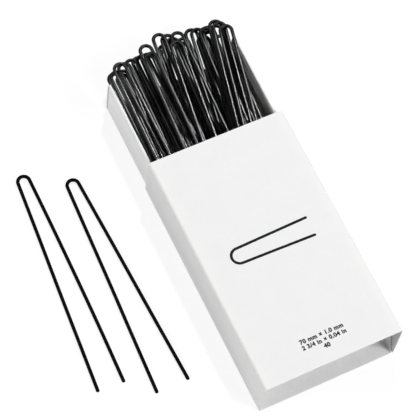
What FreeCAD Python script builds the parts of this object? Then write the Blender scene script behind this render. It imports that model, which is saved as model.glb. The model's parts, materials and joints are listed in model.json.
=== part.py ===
import FreeCAD, Part
import math
import os

# Boxed set of open hairpins: a card sleeve, a sliding card tray full of pins, and two pins lying beside it.
# Millimetres and degrees. The origin is the middle of the sleeve's underside, +Y is the way the tray pulls
# out, +Z is up. The pins set the size of the tray, and the tray sets the size of the sleeve.

# Hairpin: one round wire bent at the head, with two straight legs
pin_length = 70.0
wire_diameter = 1.0
head_radius = 1.75              # centreline of the bend
tip_round = 0.4
packed_tip_gap = 4.6            # between leg centrelines at the tips, pressed in by the pile

# Pile of pins in the tray: flat layers, each with up to three pins that fan out towards their heads.
# Each pin has a lane, which starts at the tray's closed end, so neighbours draw out past each other freely.
# The walls end just below the top layer, which may lie out over the right wall as far as the sleeve's side.
layer_gap = 0.22                # free height between one layer and the next
lane_gap = 0.35                 # least room between neighbours in a layer
lane_wander = 1.5               # how far a pin may stray across the start of its lane
wall_gap = 0.2                  # between the outermost pins and the tray's walls
head_stand_out = 11.0           # furthest head past the tray's open end
greatest_lean = 13.0            # turn of a pin towards +X from the way the tray pulls out

# Tray: one card, its walls folded double, open at the end that pulls out
tray_card = 0.4
tray_fold = 0.7                 # outside radius along the floor's long edges
wall_top_round = 0.3
wall_corner_round = 0.8         # top corner of each wall at the open end
end_room = 3.7                  # beyond the tips of a pin that is pushed right in, with its head flush
tray_pulled_out = 28.75

# Sleeve: one card folded round the tray and glued with a flap inside its right wall
sleeve_card = 0.45
sleeve_inner_fold = 0.45        # inside radius of the four long folds
slide_gap = 0.25                # beside the tray, each side
under_gap = 0.1                 # below the tray
top_room = 0.35                 # above the pile
flap_height = 12.5
flap_end_inset = 0.4            # flap's foot back from each end of the sleeve
flap_taper = 4.2                # how much further back the flap's upper edge ends

# Loose pins: legs sprung open, lying on the table left of the sleeve
left_pin_tip_gap = 7.8
left_pin_from_sleeve = 31.2     # head's middle to the sleeve's left side
left_pin_along = 55.9           # head's top from the sleeve's middle
left_pin_turn = 2.7
right_pin_tip_gap = 9.7
right_pin_from_sleeve = 18.7
right_pin_along = 49.1
right_pin_turn = 0.0

overrun = 5.0                   # how far cutting boxes pass the faces they open
edge_tolerance = 0.001          # for finding the edges to round
round_limit_share = 0.45        # most that a rounded edge takes of the wall or wire it is on

# One row for each layer, from the top down: how far the layer is pushed to the right, as a share of its free
# room, then its left, middle and right pin. Each pin has its place across its lane, its lean and its head's
# stand-out, as shares of lane_wander, greatest_lean and head_stand_out.
pile_shares = (
    (1.0, None, (0.00, 0.62, 0.45), (1.00, 1.00, 0.37)),
    (0.0, (0.25, 0.08, 0.50), (0.10, 0.23, 0.46), (1.00, 1.00, 0.58)),
    (1.0, (0.30, 0.08, 0.78), (0.20, 0.25, 0.80), (1.00, 0.44, 0.72)),
    (0.0, (0.00, 0.02, 0.42), (0.00, 0.51, 1.00), (0.95, 1.00, 0.30)),
    (0.0, (0.35, 0.19, 0.62), (0.00, 0.65, 0.94), (1.00, 0.98, 0.68)),
    (0.8, (0.30, 0.08, 0.70), (0.50, 0.23, 0.85), (0.80, 0.38, 0.77)),
    (0.0, (0.00, 0.38, 0.75), (0.05, 0.58, 0.80), (0.05, 0.77, 0.90)),
    (0.0, (0.00, 0.04, 0.60), (1.00, 0.60, 0.95), (0.95, 0.62, 1.00)),
    (0.9, (0.80, 0.15, 0.85), (0.65, 0.38, 0.90), (0.60, 0.62, 0.95)),
    (0.0, (0.20, 0.10, 0.70), (0.10, 0.30, 0.90), (1.00, 0.88, 1.00)),
    (1.0, (0.50, 0.05, 0.90), (0.70, 0.28, 1.00), (0.90, 0.31, 0.90)),
    (0.2, (0.60, 0.20, 0.80), (1.00, 0.84, 0.95), (1.00, 0.95, 1.00)),
    (0.6, (0.10, 0.04, 0.75), (1.00, 0.42, 1.00), (1.00, 0.66, 0.95)),
)

# Sizes that follow from those above
layer_count = len(pile_shares)
lane_count = len(pile_shares[0][1:])
packed_pin_width = max(packed_tip_gap, 2 * head_radius) + wire_diameter
lane_step = packed_pin_width + lane_wander + lane_gap
layer_step = wire_diameter + layer_gap
pile_height = layer_count * layer_step

tray_wall = 2 * tray_card
tray_inner_length = pin_length + end_room
greatest_slope = math.tan(math.radians(greatest_lean))
leaning_pin_width = packed_pin_width / math.cos(math.radians(greatest_lean))
lanes_width = (lane_count - 1) * lane_step + lane_wander + leaning_pin_width
tray_inner_width = 2 * wall_gap + lanes_width + tray_inner_length * greatest_slope
tray_width = tray_inner_width + 2 * tray_wall
tray_length = tray_inner_length + tray_wall
tray_height = tray_card + pile_height - layer_step
over_wall_room = tray_wall + slide_gap + sleeve_card

sleeve_width = tray_width + 2 * slide_gap + 3 * sleeve_card     # two walls and the flap
sleeve_length = tray_length
sleeve_height = 2 * sleeve_card + under_gap + tray_card + pile_height + top_room
sleeve_fold = sleeve_inner_fold + sleeve_card

# Places: the glue flap takes one card of the bore on the right, so the tray sits that little to the left
tray_left = sleeve_card + slide_gap - sleeve_width / 2
tray_right = tray_left + tray_width
tray_bottom = sleeve_card + under_gap
tray_floor = tray_bottom + tray_card
tray_top = tray_bottom + tray_height
tray_open_end = sleeve_length / 2 + tray_pulled_out
tray_closed_end = tray_open_end - tray_length


def box_between(low, high):
    size = FreeCAD.Vector(*high) - FreeCAD.Vector(*low)
    return Part.makeBox(size.x, size.y, size.z, FreeCAD.Vector(*low))


def is_near(first, second):
    return abs(first - second) < edge_tolerance


def long_edges(shape, height):
    # straight edges along Y that lie at the given height
    found = []
    for edge in shape.Edges:
        box = edge.BoundBox
        if is_near(box.XMin, box.XMax) and is_near(box.ZMin, height) and is_near(box.ZMax, height):
            found.append(edge)
    return found


def cross_edges(shape, along, height):
    # straight edges along X that lie at the given place along Y and the given height
    found = []
    for edge in shape.Edges:
        box = edge.BoundBox
        level = is_near(box.ZMin, height) and is_near(box.ZMax, height)
        if level and is_near(box.YMin, along) and is_near(box.YMax, along):
            found.append(edge)
    return found


def make_sleeve():
    # a flat tube with soft folds, and the glue flap standing against the right wall from the floor up
    half_width = sleeve_width / 2
    half_length = sleeve_length / 2
    outside = box_between((-half_width, -half_length, 0), (half_width, half_length, sleeve_height))
    outside = outside.makeFillet(sleeve_fold, long_edges(outside, 0) + long_edges(outside, sleeve_height))

    bore_side = half_width - sleeve_card
    bore_top = sleeve_height - sleeve_card
    bore_end = half_length + overrun
    bore = box_between((-bore_side, -bore_end, sleeve_card), (bore_side, bore_end, bore_top))
    bore_folds = long_edges(bore, sleeve_card) + long_edges(bore, bore_top)
    bore = bore.makeFillet(sleeve_inner_fold, bore_folds)

    foot_end = half_length - flap_end_inset
    upper_end = foot_end - flap_taper
    flap_face = bore_side - sleeve_card
    flap_top = sleeve_card + flap_height
    outline = [
        FreeCAD.Vector(flap_face, -foot_end, sleeve_card),
        FreeCAD.Vector(flap_face, foot_end, sleeve_card),
        FreeCAD.Vector(flap_face, upper_end, flap_top),
        FreeCAD.Vector(flap_face, -upper_end, flap_top),
    ]
    flap = Part.Face(Part.makePolygon(outline, True)).extrude(FreeCAD.Vector(sleeve_card, 0, 0))
    flap = flap.common(outside)
    return outside.cut(bore).fuse(flap).removeSplitter()


def make_tray():
    # a floor, two double walls with rolled tops and one double end wall, open at the other end
    outside = box_between((tray_left, tray_closed_end, tray_bottom), (tray_right, tray_open_end, tray_top))
    outside = outside.makeFillet(tray_fold, long_edges(outside, tray_bottom))
    hollow = box_between(
        (tray_left + tray_wall, tray_closed_end + tray_wall, tray_floor),
        (tray_right - tray_wall, tray_open_end + overrun, tray_top + overrun),
    )
    tray = outside.cut(hollow)
    tray = tray.makeFillet(wall_corner_round, cross_edges(tray, tray_open_end, tray_top))
    return tray.makeFillet(min(wall_top_round, round_limit_share * tray_wall), long_edges(tray, tray_top))


def make_hairpin(tip_gap):
    # top of the head at the origin, legs towards -Y
    # each leg is tangent to the bend and ends half the tip gap from the middle
    bend_middle = -head_radius - wire_diameter / 2
    half_gap = tip_gap / 2
    reach = pin_length + bend_middle
    splay = math.atan2(half_gap, reach) - math.asin(head_radius / math.hypot(half_gap, reach))
    joint_across = head_radius * math.cos(splay)
    joint_along = bend_middle + head_radius * math.sin(splay)

    turn_axis = FreeCAD.Vector(0, 0, 1)
    bend_centre = FreeCAD.Vector(0, bend_middle, 0)
    legs = []
    for side in (-1, 1):
        joint = FreeCAD.Vector(side * joint_across, joint_along, 0)
        tip = FreeCAD.Vector(side * half_gap, -pin_length, 0)
        leg = Part.makeCylinder(wire_diameter / 2, joint.distanceToPoint(tip), joint, tip - joint)
        tip_edges = [edge for edge in leg.Edges if edge.BoundBox.YMax < wire_diameter - pin_length]
        legs.append(leg.makeFillet(min(tip_round, round_limit_share * wire_diameter), tip_edges))
    section = Part.Face(Part.Wire(Part.makeCircle(wire_diameter / 2, joint, joint - tip)))
    head = section.revolve(bend_centre, turn_axis, 180 - 2 * math.degrees(splay))
    return head.multiFuse(legs).removeSplitter()


def place_pin(pin, across, along, height, turn):
    placed = pin.copy()
    spin = FreeCAD.Rotation(FreeCAD.Vector(0, 0, 1), -turn)
    placed.Placement = FreeCAD.Placement(FreeCAD.Vector(across, along, height), spin)
    return placed


def slope_of(lean_share):
    # how far a leaning pin goes to the right for each unit along the tray
    return math.tan(math.radians(lean_share * greatest_lean))


def tray_pin_places():
    # place of each head in the tray: across, along, height and lean, from the top layer down
    places = {}
    lane_start = tray_closed_end + tray_wall
    first_lane = tray_left + tray_wall + wall_gap + packed_pin_width / 2
    for layer, (push_share, *row) in enumerate(pile_shares):
        height = tray_floor + (layer_count - layer - 0.5) * layer_step
        widest_slope = max(slope_of(pin[1]) for pin in row if pin)
        room = tray_inner_length * (greatest_slope - widest_slope)
        if layer == 0:
            room += over_wall_room
        push = push_share * room
        for lane, pin in enumerate(row):
            if pin is None:
                continue
            wander_share, lean_share, stand_out_share = pin
            along = tray_open_end + stand_out_share * head_stand_out
            start_across = first_lane + push + lane * lane_step + wander_share * lane_wander
            across = start_across + (along - lane_start) * slope_of(lean_share)
            places[f"hairpin_{len(places) + 1:02d}"] = (across, along, height, lean_share * greatest_lean)
    return places


def loose_pin_places():
    # tip gap of each loose pin and the place of its head: across, along, height and turn
    sleeve_left = -sleeve_width / 2
    height = wire_diameter / 2
    left = (sleeve_left - left_pin_from_sleeve, left_pin_along, height, left_pin_turn)
    right = (sleeve_left - right_pin_from_sleeve, right_pin_along, height, right_pin_turn)
    return {
        "loose_hairpin_left": (left_pin_tip_gap, left),
        "loose_hairpin_right": (right_pin_tip_gap, right),
    }


pieces = {"sleeve": make_sleeve(), "tray": make_tray()}
packed_hairpin = make_hairpin(packed_tip_gap)
for name, place in tray_pin_places().items():
    pieces[name] = place_pin(packed_hairpin, *place)
for name, (tip_gap, place) in loose_pin_places().items():
    pieces[name] = place_pin(make_hairpin(tip_gap), *place)

print(f"sleeve {sleeve_width:.2f} x {sleeve_length:.2f} x {sleeve_height:.2f}, {len(pieces)} pieces")
os.makedirs("parts", exist_ok=True)
for name, shape in pieces.items():
    shape.exportStep(f"parts/{name}.step")
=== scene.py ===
import json
import math

import bpy
import numpy as np
from mathutils import Matrix, Vector


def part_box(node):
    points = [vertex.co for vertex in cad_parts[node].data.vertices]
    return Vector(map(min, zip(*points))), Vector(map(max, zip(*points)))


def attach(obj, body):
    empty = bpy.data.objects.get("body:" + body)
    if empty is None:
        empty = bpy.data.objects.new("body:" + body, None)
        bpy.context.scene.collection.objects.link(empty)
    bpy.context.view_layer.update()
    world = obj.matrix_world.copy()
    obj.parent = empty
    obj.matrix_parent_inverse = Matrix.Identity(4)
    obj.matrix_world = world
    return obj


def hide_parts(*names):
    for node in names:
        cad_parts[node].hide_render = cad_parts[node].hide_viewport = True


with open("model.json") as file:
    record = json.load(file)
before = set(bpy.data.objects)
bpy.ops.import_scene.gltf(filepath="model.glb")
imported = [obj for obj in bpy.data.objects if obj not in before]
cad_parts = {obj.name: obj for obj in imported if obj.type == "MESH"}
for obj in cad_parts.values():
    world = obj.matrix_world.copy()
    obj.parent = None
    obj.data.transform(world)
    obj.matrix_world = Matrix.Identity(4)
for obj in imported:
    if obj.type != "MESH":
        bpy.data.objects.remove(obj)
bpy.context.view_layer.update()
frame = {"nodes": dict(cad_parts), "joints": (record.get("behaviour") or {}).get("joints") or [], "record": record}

mm = 0.001
print("frame loaded:", len(frame["nodes"]), "nodes")


# mesh helpers

def gridQuads(rows, cols, closedRows=False, closedCols=False):
    # four corners of each cell of a grid whose vertices are numbered row by row; a closed way wraps round
    r = np.arange(rows if closedRows else rows - 1)[:, None]
    c = np.arange(cols if closedCols else cols - 1)[None, :]
    r2, c2 = (r + 1) % rows, (c + 1) % cols
    corners = np.broadcast_arrays(r * cols + c, r2 * cols + c, r2 * cols + c2, r * cols + c2)
    return np.stack(corners, -1).reshape(-1, 4)


def linkObject(name, data):
    holder = bpy.data.objects.new(name, data)
    bpy.context.scene.collection.objects.link(holder)
    return holder


def makePiece(name, points, faces, materials, faceSlots=None, marks=None, sharpAngle=None):
    mesh = bpy.data.meshes.new(name)
    mesh.from_pydata(points.tolist(), [], faces)
    mesh.polygons.foreach_set("use_smooth", np.ones(len(mesh.polygons), bool))
    for material in materials:
        mesh.materials.append(material)
    if faceSlots is not None:
        mesh.polygons.foreach_set("material_index", np.asarray(faceSlots, np.int32))
    for markName, values in (marks or {}).items():
        layer = mesh.attributes.new(markName, "FLOAT", "POINT")
        layer.data.foreach_set("value", np.asarray(values, np.float32).ravel())
    if sharpAngle is not None:
        mesh.set_sharp_from_angle(angle=math.radians(sharpAngle))
    mesh.update()
    return linkObject(name, mesh)


def meshPoints(mesh):
    points = np.empty(len(mesh.vertices) * 3)
    mesh.vertices.foreach_get("co", points)
    return points.reshape(-1, 3)


# card, lacquer and ink

def startMaterial(name):
    material = bpy.data.materials.new(name)
    material.use_nodes = True
    tree = material.node_tree
    tree.nodes.clear()
    output = tree.nodes.new("ShaderNodeOutputMaterial")
    skin = tree.nodes.new("ShaderNodeBsdfPrincipled")
    tree.links.new(skin.outputs["BSDF"], output.inputs["Surface"])
    return material, tree, skin


def addNoise(tree, scale, detail, stretch=(1, 1, 1)):
    # noise on Object coordinates, so that a pattern runs on over all pieces at its real size
    place = tree.nodes.new("ShaderNodeTexCoord")
    turn = tree.nodes.new("ShaderNodeMapping")
    turn.inputs["Scale"].default_value = stretch
    noise = tree.nodes.new("ShaderNodeTexNoise")
    noise.inputs["Scale"].default_value = scale
    noise.inputs["Detail"].default_value = detail
    tree.links.new(place.outputs["Object"], turn.inputs["Vector"])
    tree.links.new(turn.outputs["Vector"], noise.inputs["Vector"])
    return noise.outputs["Fac"]


def addRange(tree, source, low, high, fromLow=0.3, fromHigh=0.7):
    # as set, it stretches the middle of a noise, where most of it lies
    node = tree.nodes.new("ShaderNodeMapRange")
    node.inputs["From Min"].default_value = fromLow
    node.inputs["From Max"].default_value = fromHigh
    node.inputs["To Min"].default_value = low
    node.inputs["To Max"].default_value = high
    tree.links.new(source, node.inputs["Value"])
    return node.outputs["Result"]


def addMix(tree, share, first, second):
    # colour mix; each side is a fixed colour or another node's output; 6, 7 and 2 are the colour sockets
    node = tree.nodes.new("ShaderNodeMix")
    node.data_type = "RGBA"
    tree.links.new(share, node.inputs["Factor"])
    for socket, value in ((node.inputs[6], first), (node.inputs[7], second)):
        if isinstance(value, tuple):
            socket.default_value = (*value, 1)
        else:
            tree.links.new(value, socket)
    return node.outputs[2]


def addMath(tree, operation, first, second):
    node = tree.nodes.new("ShaderNodeMath")
    node.operation = operation
    tree.links.new(first, node.inputs[0])
    tree.links.new(second, node.inputs[1])
    return node.outputs["Value"]


def addMark(tree, name):
    node = tree.nodes.new("ShaderNodeAttribute")
    node.attribute_name = name
    return node.outputs["Fac"]


def addBump(tree, skin, source, depth):
    node = tree.nodes.new("ShaderNodeBump")
    node.inputs["Strength"].default_value = 1.0
    node.inputs["Distance"].default_value = depth
    tree.links.new(source, node.inputs["Height"])
    tree.links.new(node.outputs["Normal"], skin.inputs["Normal"])


noiseDetail = {"cloud": 3, "fibre": 4, "runs": 2, "pebble": 3, "specks": 3}
fibreStretch = (1, 0.25, 1)  # the card's grain runs along y


def cardMaterial(name, look):
    # coated or raw card: cloudy formation, fine fibres along the grain, folds and edges rubbed paler (partly wear,
    # partly a painted highlight), and a thin line of painted shade
    material, tree, skin = startMaterial(name)
    cloud = addNoise(tree, look["cloudScale"], noiseDetail["cloud"])
    fibre = addNoise(tree, look["fibreScale"], noiseDetail["fibre"], fibreStretch)
    tone = addMix(tree, addRange(tree, cloud, 0, 1), look["dark"], look["pale"])
    tone = addMix(tree, addRange(tree, fibre, 0, look["fibreShare"]), tone, look["fibre"])
    # folds and edges are rubbed paler: partly wear, partly a painted highlight
    tone = addMix(tree, addMark(tree, "rub"), tone, look["rubbed"])
    # painted shade: a thin dark grey line, standing in for the shadow at a wall's end edge
    tone = addMix(tree, addMark(tree, "shadeLine"), tone, look["shadeLineTone"])
    tree.links.new(tone, skin.inputs["Base Color"])
    tree.links.new(addRange(tree, fibre, *look["roughness"]), skin.inputs["Roughness"])
    skin.inputs["Specular IOR Level"].default_value = look["gloss"]
    addBump(tree, skin, fibre, look["bump"])
    return material


def lacquerMaterial(name, look):
    # dipped lacquer on drawn wire: almost black, with soft runs and a fine pebble; some pins are duller than
    # others; the heads are duller than the legs, and painted shade makes them darker
    material, tree, skin = startMaterial(name)
    runs = addNoise(tree, look["runScale"], noiseDetail["runs"])
    pebble = addNoise(tree, look["pebbleScale"], noiseDetail["pebble"])
    tone = addMix(tree, addRange(tree, runs, 0, 1), look["dark"], look["pale"])
    tone = addMix(tree, addMark(tree, "rub"), tone, look["rubbed"])
    # painted shade: the heads, and the legs near them, are painted darker where the bend's mark lies
    tone = addMix(tree, addMark(tree, "bend"), tone, look["bent"])
    tree.links.new(tone, skin.inputs["Base Color"])
    sheen = addRange(tree, pebble, *look["roughness"])
    for mark, most in (("dull", look["dullest"]), ("bend", look["bendDull"])):
        sheen = addMath(tree, "ADD", sheen, addRange(tree, addMark(tree, mark), 0, most, 0, 1))
    tree.links.new(sheen, skin.inputs["Roughness"])
    skin.inputs["Metallic"].default_value = look["metal"]
    skin.inputs["Specular Tint"].default_value = (*[look["edge"]] * 3, 1)
    skin.inputs["Specular IOR Level"].default_value = look["gloss"]
    addBump(tree, skin, pebble, look["bump"])
    return material


def inkMaterial(name, look):
    # flat offset ink: the card's grain shows through as small pale specks
    material, tree, skin = startMaterial(name)
    specks = addNoise(tree, look["speckScale"], noiseDetail["specks"])
    tone = addMix(tree, addRange(tree, specks, 0, 1, *look["speckRange"]), look["ink"], look["thin"])
    tree.links.new(tone, skin.inputs["Base Color"])
    tree.links.new(addRange(tree, specks, *look["roughness"]), skin.inputs["Roughness"])
    skin.inputs["Specular IOR Level"].default_value = look["gloss"]
    addBump(tree, skin, specks, look["bump"])
    return material


cardLooks = {
    "coated": {
        "dark": (0.85, 0.85, 0.85), "pale": (0.87, 0.87, 0.87), "fibre": (0.82, 0.82, 0.82),
        "rubbed": (0.90, 0.90, 0.89), "shadeLineTone": (0.34, 0.34, 0.34),
        "cloudScale": 160, "fibreScale": 2600, "fibreShare": 0.35,
        "roughness": (0.5, 0.68), "gloss": 0.4, "bump": 0.012 * mm,
    },
    "bright": {
        "dark": (0.91, 0.91, 0.91), "pale": (0.93, 0.93, 0.93), "fibre": (0.88, 0.88, 0.88),
        "rubbed": (0.93, 0.93, 0.92), "shadeLineTone": (0.22, 0.22, 0.22),
        "cloudScale": 160, "fibreScale": 2600, "fibreShare": 0.35,
        "roughness": (0.5, 0.68), "gloss": 0.4, "bump": 0.012 * mm,
    },
    "raw": {
        "dark": (0.84, 0.84, 0.84), "pale": (0.88, 0.88, 0.88), "fibre": (0.79, 0.79, 0.79),
        "rubbed": (0.86, 0.86, 0.86), "shadeLineTone": (0.40, 0.40, 0.40),
        "cloudScale": 260, "fibreScale": 1700, "fibreShare": 0.45,
        "roughness": (0.75, 0.92), "gloss": 0.25, "bump": 0.03 * mm,
    },
    "cut": {
        "dark": (0.74, 0.74, 0.73), "pale": (0.86, 0.86, 0.85), "fibre": (0.58, 0.57, 0.55),
        "rubbed": (0.86, 0.86, 0.85), "shadeLineTone": (0.40, 0.40, 0.40),
        "cloudScale": 900, "fibreScale": 5200, "fibreShare": 0.6,
        "roughness": (0.85, 0.98), "gloss": 0.2, "bump": 0.04 * mm,
    },
}
cards = {kind: cardMaterial("card_" + kind, look) for kind, look in cardLooks.items()}
packedLacquer = lacquerMaterial("lacquer_satin", {
    "dark": (0.09, 0.09, 0.09), "pale": (0.11, 0.11, 0.11),
    "rubbed": (0.05, 0.05, 0.05), "bent": (0.024, 0.024, 0.024),
    "metal": 1.0, "edge": 0.45, "gloss": 0.5, "runScale": 240, "pebbleScale": 3800,
    "roughness": (0.2, 0.26), "dullest": 0.1, "bendDull": 0.1, "bump": 0.0015 * mm,
})
# the loose pins' copy of the same lacquer, painted in shade: near black and almost without gloss, so that it shows
# hardly any highlight from the lamps
looseShadedLacquer = lacquerMaterial("lacquer_shaded_copy", {
    "dark": (0.0006, 0.0006, 0.0006), "pale": (0.002, 0.002, 0.002),
    "rubbed": (0.006, 0.006, 0.006), "bent": (0.0006, 0.0006, 0.0006),
    "metal": 0.0, "edge": 1.0, "gloss": 0.05, "runScale": 240, "pebbleScale": 3800,
    "roughness": (0.42, 0.55), "dullest": 0.1, "bendDull": 0.0, "bump": 0.006 * mm,
})
darkInk = inkMaterial("ink_dark", {
    "ink": (0.008, 0.008, 0.008), "thin": (0.03, 0.03, 0.03), "speckScale": 5200, "speckRange": (0.45, 0.8),
    "roughness": (0.45, 0.65), "gloss": 0.12, "bump": 0.004 * mm,
})
print("materials made")


# folded card

def foldedPath(corners, radii, runSteps, foldSteps):
    # straight runs between corners, with a circular arc tangent to both runs at each inner corner; returns
    # the points, the number of the run each lies on (a half between two runs) and its place -1..1 along it
    corners = np.asarray(corners, float)
    ways = np.diff(corners, axis=0)
    ways /= np.linalg.norm(ways, axis=1)[:, None]
    before, after = ways[:-1], ways[1:]
    turns = np.arctan2(before[:, 0] * after[:, 1] - before[:, 1] * after[:, 0], (before * after).sum(1))
    cutBack = np.abs(np.asarray(radii) * np.tan(turns / 2))
    starts = corners[:-1] + ways * np.r_[0, cutBack][:, None]
    ends = corners[1:] - ways * np.r_[cutBack, 0][:, None]
    points, runs, places = [], [], []
    for i, steps in enumerate(runSteps):
        share = np.linspace(0, 1, steps + 1)
        points.append(starts[i] + (ends[i] - starts[i]) * share[:, None])
        runs.append(np.full(steps + 1, float(i)))
        places.append(2 * share - 1)
        if i < len(turns):
            side = np.sign(turns[i])
            centre = ends[i] + side * radii[i] * np.array((-ways[i, 1], ways[i, 0]))
            angle = turns[i] * np.linspace(0, 1, foldSteps + 1)[1:-1]
            arm = ends[i] - centre
            points.append(centre + np.c_[
                arm[0] * np.cos(angle) - arm[1] * np.sin(angle),
                arm[0] * np.sin(angle) + arm[1] * np.cos(angle),
            ])
            runs.append(np.full(len(angle), i + 0.5))
            places.append(np.zeros(len(angle)))
    return np.concatenate(points), np.concatenate(runs), np.concatenate(places)


def pathNormals(path):
    # right-hand side of the way the path goes
    way = np.gradient(path, axis=0)
    way /= np.linalg.norm(way, axis=1)[:, None]
    return np.c_[way[:, 1], -way[:, 0]]


cutEdge = {"bulgeShare": 0.22, "sharpAngle": 40}


def bentCard(name, face, path, thick, low, high, stations, lift=0, rub=0, shadeLine=0, carryAxis="y"):
    # the path is the card's middle line, carried from low to high across it; each side stands half the
    # thickness off along the normal, and the cut edges are joined by a strip whose middle bulges a little
    count, steps = len(path), len(stations)
    lift, rub, shadeLine = (np.zeros((count, steps)) + values for values in (lift, rub, shadeLine))
    normal = pathNormals(path)
    way = np.c_[-normal[:, 1], normal[:, 0]]
    bulge = cutEdge["bulgeShare"] * thick
    carry = low[:, None] + (high - low)[:, None] * stations[None, :]

    def sheet(offset):
        flat = path[:, None, :] + normal[:, None, :] * (lift + offset)[:, :, None]
        return np.dstack((flat[..., 0], carry, flat[..., 1]))

    outer, inner, middle = sheet(thick / 2), sheet(-thick / 2), sheet(0)
    firstEdge = middle[:1] - np.array((way[0, 0], 0, way[0, 1])) * bulge
    lastEdge = middle[-1:] + np.array((way[-1, 0], 0, way[-1, 1])) * bulge
    ring = np.concatenate((outer, lastEdge, inner[::-1], firstEdge))
    lowEdge = middle[:, 0] - np.array((0, bulge, 0))
    highEdge = middle[:, -1] + np.array((0, bulge, 0))
    points = np.concatenate((ring.reshape(-1, 3), lowEdge, highEdge))

    # material slots round the ring: 0 the face, 1 the raw side, 2 the cut edges
    ringRows = len(ring)
    quads = gridQuads(ringRows, steps, closedRows=True)[:, ::-1]  # turned, so that the faces point outwards
    rowOf = np.arange(len(quads)) // (steps - 1)
    slots = np.where(rowOf < count - 1, 0, np.where((rowOf > count) & (rowOf < 2 * count), 1, 2))

    i = np.arange(count - 1)
    outRow, inRow = i, 2 * count - i
    lowStart = ringRows * steps
    highStart = lowStart + count

    def capStrip(column, start, turned):
        # a cut edge across the path: from the outer row to the edge's middle row, and on to the inner row
        a, b = outRow * steps + column, (outRow + 1) * steps + column
        c, d = inRow * steps + column, (inRow - 1) * steps + column
        first = np.stack((a, b, start + i + 1, start + i), 1)
        second = np.stack((start + i, start + i + 1, d, c), 1)
        strip = np.concatenate((first, second))
        return strip[:, ::-1] if turned else strip

    def capEnds(column, start, turned):
        # the two ends of that edge, where it meets the edges along the carry
        last = count - 1
        ends = np.array((
            (column, start, 2 * count * steps + column, (2 * count + 1) * steps + column),
            (last * steps + column, count * steps + column, (count + 1) * steps + column, start + last),
        ))
        return ends[:, ::-1] if turned else ends

    caps = [capStrip(0, lowStart, False), capStrip(steps - 1, highStart, True)]
    ends = [capEnds(0, lowStart, False), capEnds(steps - 1, highStart, True)]
    faces = np.concatenate([quads] + caps + ends)
    slots = np.concatenate((slots, np.full(len(faces) - len(quads), 2)))

    def onRing(values):
        ringValues = np.concatenate((values, values[-1:], values[::-1], values[:1]))
        return np.concatenate((ringValues.ravel(), values[:, 0], values[:, -1]))

    if carryAxis == "x":
        points = points[:, [1, 0, 2]]
        faces = faces[:, ::-1]
    stock = [cards[face], cards["raw"], cards["cut"]]
    marks = {"rub": onRing(rub), "shadeLine": onRing(shadeLine)}
    return makePiece(name, points, faces.tolist(), stock, slots, marks, cutEdge["sharpAngle"])


def edgeStations(steps, crowd):
    # even places 0..1, crowded towards both ends
    even = np.linspace(-1, 1, steps + 1)
    return 0.5 + 0.5 * ((1 - crowd) * even + crowd * np.sin(even * math.pi / 2))


sleeve = {
    "card": 0.45 * mm, "thickShare": 0.97, "foldMiddle": 0.675 * mm,
    "flapTop": 12.95 * mm, "flapInset": 0.4 * mm, "flapTaper": 4.2 * mm, "flapEase": 40,
    "edgeLift": 0.25,  # of the card, from the table up to the right wall's cut edge
    "frontBow": 0.10 * mm, "sideBow": 0.05 * mm,
    "runSteps": (14, 30, 14, 20, 12), "foldSteps": 8, "stations": 64, "crowd": 0.55,
    "foldRubAndHighlight": 0.55, "foldRubFade": 14, "endRubAndHighlight": 0.45, "endRubFade": 150,
}


def frontHeight(x):
    # the front panel bows up as a parabola across its width, from nothing at the folds
    low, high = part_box("sleeve")
    half = (high.x - low.x) / 2 - sleeve["card"] / 2 - sleeve["foldMiddle"]
    return high.z + sleeve["frontBow"] * np.clip(1 - (x / half) ** 2, 0, 1)


def makeSleeve():
    # one card: right wall up, front, left wall, back, then the glue flap up inside the right wall
    low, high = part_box("sleeve")
    c, r = sleeve["card"], sleeve["foldMiddle"]
    right, left, flap = high.x - c / 2, low.x + c / 2, high.x - 1.5 * c
    top, bottom = high.z - c / 2, low.z + c / 2
    corners = [
        (right, low.z + sleeve["edgeLift"] * c), (right, top), (left, top),
        (left, bottom), (flap, bottom), (flap, sleeve["flapTop"]),
    ]
    path, run, place = foldedPath(corners, (r, r, r, r), sleeve["runSteps"], sleeve["foldSteps"])
    height = np.clip((path[:, 1] - low.z - c) / (sleeve["flapTop"] - low.z - c), 0, 1)
    inset = sleeve["flapInset"] * np.clip(height * sleeve["flapEase"], 0, 1) + sleeve["flapTaper"] * height
    setBack = np.where(run >= 3.5, inset, 0)
    stations = edgeStations(sleeve["stations"], sleeve["crowd"])

    # the front and both sides bow out as parabolas; folds and both open ends are rubbed paler, which is partly
    # wear and partly a painted highlight
    bow = np.select([run == 1, (run == 0) | (run == 2)], [sleeve["frontBow"], sleeve["sideBow"]], 0.0)
    lift = (bow * (1 - place ** 2))[:, None]
    nearFold = np.where(run % 1 > 0, 1.0, np.exp(-(1 - np.abs(place)) * sleeve["foldRubFade"]))
    nearEnd = np.exp(-np.minimum(stations, 1 - stations) * sleeve["endRubFade"])
    rub = np.clip(sleeve["foldRubAndHighlight"] * nearFold[:, None] + sleeve["endRubAndHighlight"] * nearEnd, 0, 1)
    thick, start, end = sleeve["thickShare"] * c, low.y + setBack, high.y - setBack
    return bentCard("sleeve_card", "coated", path, thick, start, end, stations, lift, rub)


tray = {
    "card": 0.4 * mm, "thickShare": 0.95, "foldMiddle": 0.5 * mm, "rollShare": 0.49,
    "plyGap": 0.05,  # of the card, between plies that meet at a corner
    "cornerRound": 0.8 * mm, "shadeLineFromEnd": 0.55 * mm, "shadeLineWidth": 0.22 * mm, "endFoot": 1.2 * mm,
    "runSteps": (14, 1, 14, 24, 14, 1, 14), "foldSteps": 8, "stations": 72, "crowd": 0.75,
    "endRunSteps": (14, 1, 14, 3), "endStations": 48, "endCrowd": 0.5,
    "foldRubAndHighlight": 0.5, "edgeRubAndHighlight": 0.4, "edgeRubFade": 0.5 * mm,
}


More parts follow.
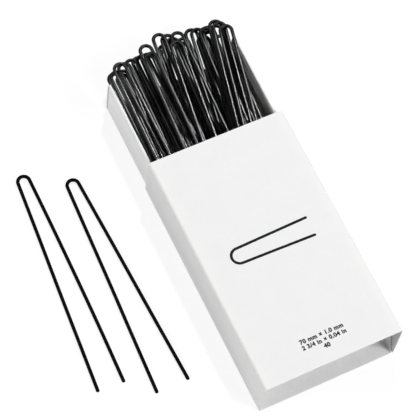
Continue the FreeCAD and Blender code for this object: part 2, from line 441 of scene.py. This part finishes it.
def makeTray():
    # one card: left inner ply up, over the rolled top, down the outer ply, floor, and the same on the right
    low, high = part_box("tray")
    c, r, roll = tray["card"], tray["foldMiddle"], tray["rollShare"] * tray["card"]
    top, bottom, plyFoot = high.z - c / 2, low.z + c / 2, low.z + (1 + tray["plyGap"]) * c
    leftOut, leftIn, rightIn, rightOut = low.x + c / 2, low.x + 1.5 * c, high.x - 1.5 * c, high.x - c / 2
    corners = [
        (leftIn, plyFoot), (leftIn, top), (leftOut, top), (leftOut, bottom),
        (rightOut, bottom), (rightOut, top), (rightIn, top), (rightIn, plyFoot),
    ]
    path, run, _ = foldedPath(corners, (roll, roll, r, r, roll, roll), tray["runSteps"], tray["foldSteps"])

    # at the open end each wall's top corner is cut back as a quarter circle; inner plies and floor stop short
    # of the closed end, which has plies and a foot of its own
    radius = tray["cornerRound"]
    over = np.clip(path[:, 1] + c / 2 - (high.z - radius), 0, radius)
    end = high.y - (radius - np.sqrt(radius ** 2 - over ** 2))
    innerPly = (run <= 0.5) | (run >= 5.5)
    start = low.y + np.select([innerPly, run == 3], [(2 + tray["plyGap"]) * c, tray["endFoot"]], 0.0)
    stations = edgeStations(tray["stations"], tray["crowd"])
    fromEnd = end[:, None] - (start[:, None] + (end - start)[:, None] * stations)
    # painted shade: a thin dark grey line across each outer wall, just short of the open end, standing in for the
    # shadow at that edge
    onWall = ((run == 2) | (run == 4))[:, None]
    shadeLine = np.exp(-((fromEnd - tray["shadeLineFromEnd"]) / tray["shadeLineWidth"]) ** 2) * onWall
    # folds and the open end are rubbed paler: partly wear, partly a painted highlight
    onFold = (run % 1 > 0)[:, None]
    rub = np.clip(tray["foldRubAndHighlight"] * onFold + tray["edgeRubAndHighlight"] * np.exp(-fromEnd / tray["edgeRubFade"]), 0, 1)
    thick = tray["thickShare"] * c
    return bentCard("tray_card", "bright", path, thick, start, end, stations, rub=rub, shadeLine=shadeLine)


def makeTrayEnd():
    # the closed end: inner ply up, over the rolled top, down the outer ply and a short foot on the floor
    low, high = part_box("tray")
    c, r, roll = tray["card"], tray["foldMiddle"], tray["rollShare"] * tray["card"]
    top, bottom, plyFoot = high.z - c / 2, low.z + c / 2, low.z + (1 + tray["plyGap"]) * c
    out, inside = low.y + c / 2, low.y + 1.5 * c
    corners = [(inside, plyFoot), (inside, top), (out, top), (out, bottom), (low.y + tray["endFoot"], bottom)]
    path, run, _ = foldedPath(corners, (roll, roll, r), tray["endRunSteps"], tray["foldSteps"])
    stations = edgeStations(tray["endStations"], tray["endCrowd"])
    side = (1 + tray["plyGap"]) * c
    left, right = np.full(len(path), low.x + side), np.full(len(path), high.x - side)
    # the folds are rubbed paler: partly wear, partly a painted highlight
    rub = (tray["foldRubAndHighlight"] * (run % 1 > 0))[:, None]
    thick = tray["thickShare"] * c
    return bentCard("tray_end", "bright", path, thick, left, right, stations, rub=rub, carryAxis="x")


sleeveCard = makeSleeve()
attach(sleeveCard, "sleeve")
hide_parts("sleeve")
trayCard = makeTray()
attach(trayCard, "tray")
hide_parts("tray")
trayEnd = makeTrayEnd()
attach(trayEnd, "tray")
print("card sleeve and tray folded")


# bent wire

wire = {
    "diameter": 1.0 * mm, "coat": 0.03 * mm, "headRadius": 1.75 * mm, "tipLength": 0.5 * mm, "tipStart": 0.12,
    "sides": 20, "legSteps": 34, "headSteps": 30, "tipSteps": 6,
    "wander": 0.05 * mm, "wanderTurn": 5, "sag": 0.025 * mm, "sagTurn": 4, "sagPhase": 1.7,
    "phaseStep": 2.399, "dullStep": 0.618,  # from pin to pin, so that no two look the same
    "tipRub": 0.7, "tipRubFade": 0.6 * mm, "headRub": 0.5, "bendFade": 4 * mm,
}


def pinMiddle(length, tipGap, bows, seed):
    # two straight legs tangent to the round head, head's top at 0,0; each leg strays from its line as a half
    # wave times its bow, and as a small slow wave of its own
    rad, head = wire["diameter"] / 2, wire["headRadius"]
    middle, half = -head - rad, tipGap / 2
    reach = length + middle
    splay = math.atan2(half, reach) - math.asin(head / math.hypot(half, reach))
    joint = np.array((head * math.cos(splay), middle + head * math.sin(splay)))
    tip = np.array((half, -length))
    legLength = np.linalg.norm(joint - tip)
    tipAngle = np.linspace(wire["tipStart"], math.pi / 2, wire["tipSteps"])
    tipPlaces = wire["tipLength"] * (1 - np.cos(tipAngle))
    fromTip = np.r_[tipPlaces, np.linspace(wire["tipLength"], legLength, wire["legSteps"])[1:]]
    share = fromTip / legLength
    line = tip + (joint - tip) * share[:, None]
    outward = np.array((math.cos(splay), math.sin(splay)))
    fade = np.sin(math.pi * share) ** 2
    legs, rises = [], []
    for side, bow in zip((-1, 1), bows):
        phase = seed * wire["phaseStep"] + side
        wander = wire["wander"] * fade * np.sin(wire["wanderTurn"] * share + phase)
        stray = bow * np.sin(math.pi * share) + wander
        legs.append((line + outward * stray[:, None]) * (side, 1))
        rises.append(wire["sag"] * fade * np.sin(wire["sagTurn"] * share + wire["sagPhase"] * phase))
    angle = np.linspace(math.pi - splay, splay, wire["headSteps"] + 1)[1:-1]
    bend = np.c_[head * np.cos(angle), middle + head * np.sin(angle)]
    path = np.concatenate((legs[0], bend, legs[1][::-1]))
    rise = np.concatenate((rises[0], np.zeros(len(bend)), rises[1][::-1]))
    ends = np.concatenate((fromTip, np.full(len(bend), legLength), fromTip[::-1]))
    onHead = np.concatenate((np.zeros(len(line)), np.sin(angle), np.zeros(len(line))))
    return path, rise, ends, onHead


def makeWirePin(name, head, turn, length, tipGap, bows, seed, material):
    # a circle carried along the pin's middle line; near each tip its radius closes as an ellipse does; the
    # coat of lacquer adds to the radius and lifts the wire by as much
    path, rise, fromTip, onHead = pinMiddle(length, tipGap, bows, seed)
    rad = wire["diameter"] / 2 + wire["coat"]
    radius = rad * np.sqrt(1 - np.clip(1 - fromTip / wire["tipLength"], 0, 1) ** 2)
    normal = pathNormals(path)
    angle = np.linspace(0, 2 * math.pi, wire["sides"], endpoint=False)
    across = path[:, 0, None] + normal[:, 0, None] * radius[:, None] * np.cos(angle)
    along = path[:, 1, None] + normal[:, 1, None] * radius[:, None] * np.cos(angle)
    up = wire["coat"] + rise[:, None] + radius[:, None] * np.sin(angle)
    rows, cols = across.shape
    tips = np.array([(path[end, 0], path[end, 1] - fromTip[end], wire["coat"]) for end in (0, -1)])
    local = np.concatenate((np.stack((across, along, up), -1).reshape(-1, 3), tips))
    cosTurn, sinTurn = math.cos(turn), math.sin(turn)
    spin = np.array(((cosTurn, sinTurn, 0), (-sinTurn, cosTurn, 0), (0, 0, 1)))
    points = local @ spin.T + np.asarray(head)

    # the grid along the wire, and a fan over each tip
    quads = gridQuads(rows, cols, closedCols=True)
    c = np.arange(cols)
    c2 = (c + 1) % cols
    first, last = rows * cols, rows * cols + 1
    fans = np.concatenate((
        np.stack((np.full(cols, first), c, c2), 1),
        np.stack((np.full(cols, last), (rows - 1) * cols + c2, (rows - 1) * cols + c), 1),
    ))

    # tips and the outside of the head are rubbed; the bend's mark, which carries painted shade on the heads, fades
    # down the legs
    outside = np.clip(-np.cos(angle), 0, 1)
    tipRub = wire["tipRub"] * np.exp(-fromTip / wire["tipRubFade"])
    rub = np.clip(tipRub[:, None] + wire["headRub"] * onHead[:, None] * outside, 0, 1)
    bend = np.exp((fromTip - fromTip.max()) / wire["bendFade"])
    marks = {
        "rub": np.r_[rub.ravel(), wire["tipRub"], wire["tipRub"]],
        "dull": np.full(len(points), (seed * wire["dullStep"]) % 1),
        "bend": np.r_[np.repeat(bend, cols), 0, 0],
    }
    return makePiece(name, points, quads.tolist() + fans.tolist(), [material], None, marks)


def pinPlace(node, turn):
    # the CAD pin in its own turned axes: the top of its head, its length and its tip gap
    points = meshPoints(frame["nodes"][node].data)
    across = points[:, 0] * math.cos(turn) - points[:, 1] * math.sin(turn)
    along = points[:, 0] * math.sin(turn) + points[:, 1] * math.cos(turn)
    middle, top = (across.min() + across.max()) / 2, along.max()
    head = (
        middle * math.cos(turn) + top * math.sin(turn),
        top * math.cos(turn) - middle * math.sin(turn),
        (points[:, 2].min() + points[:, 2].max()) / 2,
    )
    return head, top - along.min(), across.max() - across.min() - wire["diameter"]


def addPin(node, body, turn, bows, seed, material):
    head, length, tipGap = pinPlace(node, turn)
    pin = makeWirePin("wire_" + node, head, turn, length, tipGap, bows, seed, material)
    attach(pin, body)
    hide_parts(node)


loosePins = {
    "left": {"turn": math.radians(2.7), "bows": (0.0, 0.35 * mm), "seed": 50},
    "right": {"turn": 0.0, "bows": (0.0, 0.0), "seed": 51},
}
bodyNodes = frame["record"]["behaviour"]["bodies"]
drawJoints = [joint for joint in frame["joints"] if joint["name"].endswith("_draw")]
for number, joint in enumerate(drawJoints):
    lean = math.atan2(joint["axis"][0], joint["axis"][1])
    addPin(bodyNodes[joint["child"]][0], joint["child"], lean, (0.0, 0.0), number, packedLacquer)
for side, pin in loosePins.items():
    addPin("loose_hairpin_" + side, "loose_pin_" + side, pin["turn"], pin["bows"], pin["seed"], looseShadedLacquer)
print("wire pins bent:", len(drawJoints) + len(loosePins))


# print on the front

printing = {
    "thick": 0.012 * mm, "pinMiddle": (-0.1 * mm, 1.2 * mm),
    "pinLine": 0.8 * mm, "pinLength": 25.0 * mm, "pinWidth": 4.6 * mm, "pinSpread": 0.6 * mm,
    "tipStart": 0.1, "tipSteps": 9, "legSteps": 24, "bendSteps": 33,
    "textSize": 1.75 * mm, "textBold": 0.085 * mm, "textSpread": 1.1, "textSteps": 6,
    "rows": {
        "print_metric": {"text": "70 mm \u00d7 1.0 mm", "middle": (0.0, -28.9 * mm)},
        "print_inches": {"text": "2 3/4 in \u00d7 0.04 in", "middle": (0.0, -30.7 * mm)},
        "print_count": {"text": "40", "middle": (0.0, -32.5 * mm)},
    },
}


def printOutline():
    # a flat ribbon along a lying U, half its line either side of two spreading legs and a half circle; its
    # ends close as half circles do
    half, line = printing["pinWidth"] / 2, printing["pinLine"] / 2
    x0, y0 = printing["pinMiddle"]
    left, right = x0 - printing["pinLength"] / 2 + half, x0 + printing["pinLength"] / 2
    tip = line * (1 - np.cos(np.linspace(printing["tipStart"], math.pi / 2, printing["tipSteps"])))
    fromTip = np.r_[tip, np.linspace(line, right - left, printing["legSteps"])[1:]]
    rise = half + printing["pinSpread"] * (1 - fromTip / (right - left))
    angle = np.linspace(math.pi / 2, 1.5 * math.pi, printing["bendSteps"])[1:-1]
    path = np.concatenate((
        np.c_[right - fromTip, y0 + rise],
        np.c_[left + half * np.cos(angle), y0 + half * np.sin(angle)],
        np.c_[right - fromTip, y0 - rise][::-1],
    ))
    fromEnd = np.concatenate((fromTip, np.full(len(angle), right), fromTip[::-1]))
    width = line * np.sqrt(1 - np.clip(1 - fromEnd / line, 0, 1) ** 2)
    normal = pathNormals(path)
    flat = np.stack((path - normal * width[:, None], path + normal * width[:, None]), 1)
    points = np.dstack((flat[..., 0], flat[..., 1], frontHeight(flat[..., 0]) + printing["thick"]))
    quads = gridQuads(len(path), 2)
    return makePiece("print_pin", points.reshape(-1, 3), quads[:, ::-1].tolist(), [darkInk])


def printWords(name, look):
    # type made a mesh, set about its middle and laid on the bowed front
    curve = bpy.data.curves.new(name, "FONT")
    curve.body, curve.size, curve.offset = look["text"], printing["textSize"], printing["textBold"]
    curve.space_character, curve.resolution_u = printing["textSpread"], printing["textSteps"]
    holder = linkObject(name + "_type", curve)
    bpy.context.view_layer.update()
    mesh = bpy.data.meshes.new_from_object(holder.evaluated_get(bpy.context.evaluated_depsgraph_get()))
    bpy.data.objects.remove(holder)
    bpy.data.curves.remove(curve)
    points = meshPoints(mesh)
    centre = (points.min(0) + points.max(0)) / 2
    points[:, :2] += np.array(look["middle"]) - centre[:2]
    points[:, 2] = frontHeight(points[:, 0]) + printing["thick"]
    mesh.vertices.foreach_set("co", points.ravel())
    mesh.materials.clear()
    mesh.materials.append(darkInk)
    mesh.update()
    mesh.name = name
    return linkObject(name, mesh)


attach(printOutline(), "sleeve")
for name, look in printing["rows"].items():
    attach(printWords(name, look), "sleeve")
print("front printed")


# floor, light and camera

studio = {
    "floorSize": 6.0, "floorSteps": 3, "floorHeight": -0.03 * mm,
    "floorTone": 0.70, "floorGlow": 0.83, "floorShade": 0.23, "skyLevel": 0.03,
    "lamps": {
        "key": {"place": (0.17, 0.32, 0.61), "aim": (0.0, 0.05, 0.0), "size": (0.03, 0.03), "watts": 1.9},
        "left": {"place": (-0.72, 0.12, 0.38), "aim": (0.0, 0.0, 0.0), "size": (0.4, 0.4), "watts": 3.2},
        "fill": {"place": (0.52, -0.66, 0.58), "aim": (0.0, 0.0, 0.0), "size": (0.5, 0.5), "watts": 8.9},
    },
}


def floorMaterial():
    # rays from the camera, a mirror or a window see a glow with a share of shade; light that bounces between
    # surfaces meets plain matt white
    material = bpy.data.materials.new("floor_white")
    material.use_nodes = True
    tree = material.node_tree
    tree.nodes.clear()
    output = tree.nodes.new("ShaderNodeOutputMaterial")
    bounce = tree.nodes.new("ShaderNodeBsdfDiffuse")
    bounce.inputs["Color"].default_value = (*[studio["floorTone"]] * 3, 1)
    shade = tree.nodes.new("ShaderNodeBsdfDiffuse")
    shade.inputs["Color"].default_value = (*[studio["floorShade"]] * 3, 1)
    glow = tree.nodes.new("ShaderNodeEmission")
    glow.inputs["Strength"].default_value = studio["floorGlow"]
    seen = tree.nodes.new("ShaderNodeAddShader")
    mix = tree.nodes.new("ShaderNodeMixShader")
    path = tree.nodes.new("ShaderNodeLightPath")
    share = path.outputs["Is Camera Ray"]
    for other in ("Is Glossy Ray", "Is Transmission Ray"):
        share = addMath(tree, "MAXIMUM", share, path.outputs[other])
    tree.links.new(shade.outputs[0], seen.inputs[0])
    tree.links.new(glow.outputs[0], seen.inputs[1])
    tree.links.new(share, mix.inputs[0])
    tree.links.new(bounce.outputs[0], mix.inputs[1])
    tree.links.new(seen.outputs[0], mix.inputs[2])
    tree.links.new(mix.outputs[0], output.inputs["Surface"])
    return material


def makeFloor():
    # a flat grid just under the table's level
    half, steps = studio["floorSize"] / 2, studio["floorSteps"]
    places = np.linspace(-half, half, steps)
    x, y = np.meshgrid(places, places, indexing="ij")
    points = np.dstack((x, y, np.full_like(x, studio["floorHeight"]))).reshape(-1, 3)
    floor = makePiece("studio_floor", points, gridQuads(steps, steps).tolist(), [floorMaterial()])


def makeSky():
    # white where the camera sees it, and a dim even light on the object
    world = bpy.data.worlds.new("studio_sky")
    bpy.context.scene.world = world
    world.use_nodes = True
    tree = world.node_tree
    tree.nodes.clear()
    output = tree.nodes.new("ShaderNodeOutputWorld")
    soft = tree.nodes.new("ShaderNodeBackground")
    soft.inputs["Color"].default_value = (1, 1, 1, 1)
    soft.inputs["Strength"].default_value = studio["skyLevel"]
    white = tree.nodes.new("ShaderNodeBackground")
    white.inputs["Color"].default_value = (1, 1, 1, 1)
    mix = tree.nodes.new("ShaderNodeMixShader")
    path = tree.nodes.new("ShaderNodeLightPath")
    tree.links.new(path.outputs["Is Camera Ray"], mix.inputs[0])
    tree.links.new(soft.outputs[0], mix.inputs[1])
    tree.links.new(white.outputs[0], mix.inputs[2])
    tree.links.new(mix.outputs[0], output.inputs["Surface"])


def addLamp(name, look):
    lamp = bpy.data.lights.new("lamp_" + name, "AREA")
    lamp.shape, lamp.energy = "RECTANGLE", look["watts"]
    lamp.size, lamp.size_y = look["size"]
    holder = linkObject("lamp_" + name, lamp)
    place = Vector(look["place"])
    way = (Vector(look["aim"]) - place).to_track_quat("-Z", "Y")
    holder.matrix_world = Matrix.Translation(place) @ way.to_matrix().to_4x4()


shot = {
    "lens": 169.45, "sensor": 36, "nearest": 0.01, "furthest": 20,
    "place": (-0.147384, -0.172755, 0.522634),
    "right": (0.89685, -0.43556, 0.07717), "up": (0.36903, 0.83292, 0.41238),
}


def addCamera():
    camera = bpy.data.cameras.new("shot")
    camera.lens, camera.sensor_width, camera.sensor_fit = shot["lens"], shot["sensor"], "HORIZONTAL"
    camera.clip_start, camera.clip_end = shot["nearest"], shot["furthest"]
    holder = linkObject("shot", camera)
    right, up = Vector(shot["right"]).normalized(), Vector(shot["up"]).normalized()
    turn = Matrix((right, up, right.cross(up))).transposed()
    holder.matrix_world = Matrix.Translation(shot["place"]) @ turn.to_4x4()
    bpy.context.scene.camera = holder


makeFloor()
makeSky()
for name, look in studio["lamps"].items():
    addLamp(name, look)
addCamera()
bpy.context.scene.view_settings.view_transform = "Standard"
print("studio set")
